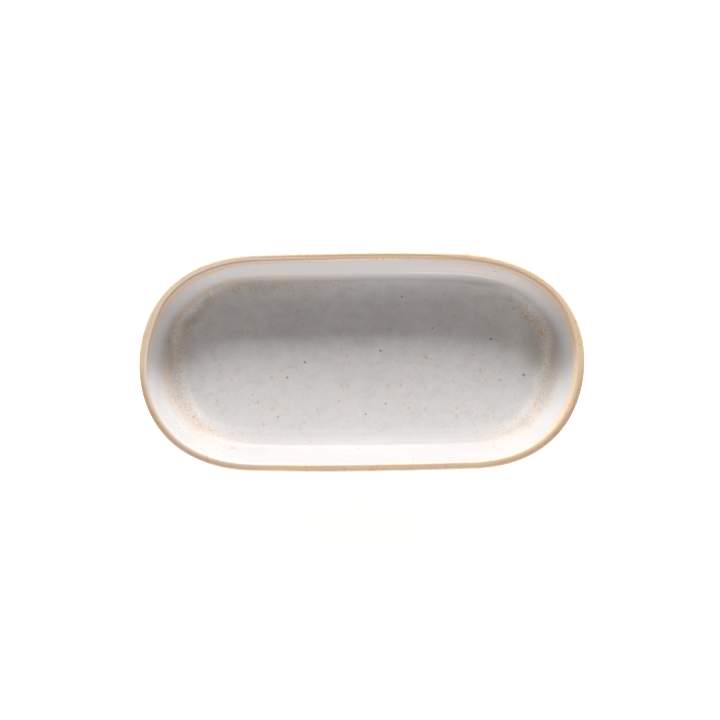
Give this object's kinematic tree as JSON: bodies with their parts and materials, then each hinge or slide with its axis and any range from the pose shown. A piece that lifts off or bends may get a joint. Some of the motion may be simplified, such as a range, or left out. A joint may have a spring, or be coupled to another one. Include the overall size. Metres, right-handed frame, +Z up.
{
  "type": "oval tray",
  "caption": "Shallow oval stoneware serving tray with a flat floor dished at its edge, sloping walls, a rounded lip, speckled pale glaze and a bare foot ring.",
  "frame": {"origin": "middle of the footprint, on the surface the foot ring stands on", "axes": "+X along the length of the oval, +Y across it, +Z up out of the well"},
  "size_m": [0.3, 0.148, 0.03],
  "materials": {
    "stoneware": "bare fired clay, matte, fine grog",
    "inner_glaze": "pale speckled glaze, satin",
    "rim_glaze": "thin glaze breaking to toasted tan, satin",
    "outer_glaze": "pale speckled glaze, satin",
    "base_glaze": "pale speckled glaze, satin"
  },
  "bodies": {
    "root": {"stoneware_body": "stoneware", "inner_glaze": "inner_glaze", "rim_glaze": "rim_glaze", "outer_glaze": "outer_glaze", "base_glaze": "base_glaze"}
  },
  "joints": []
}
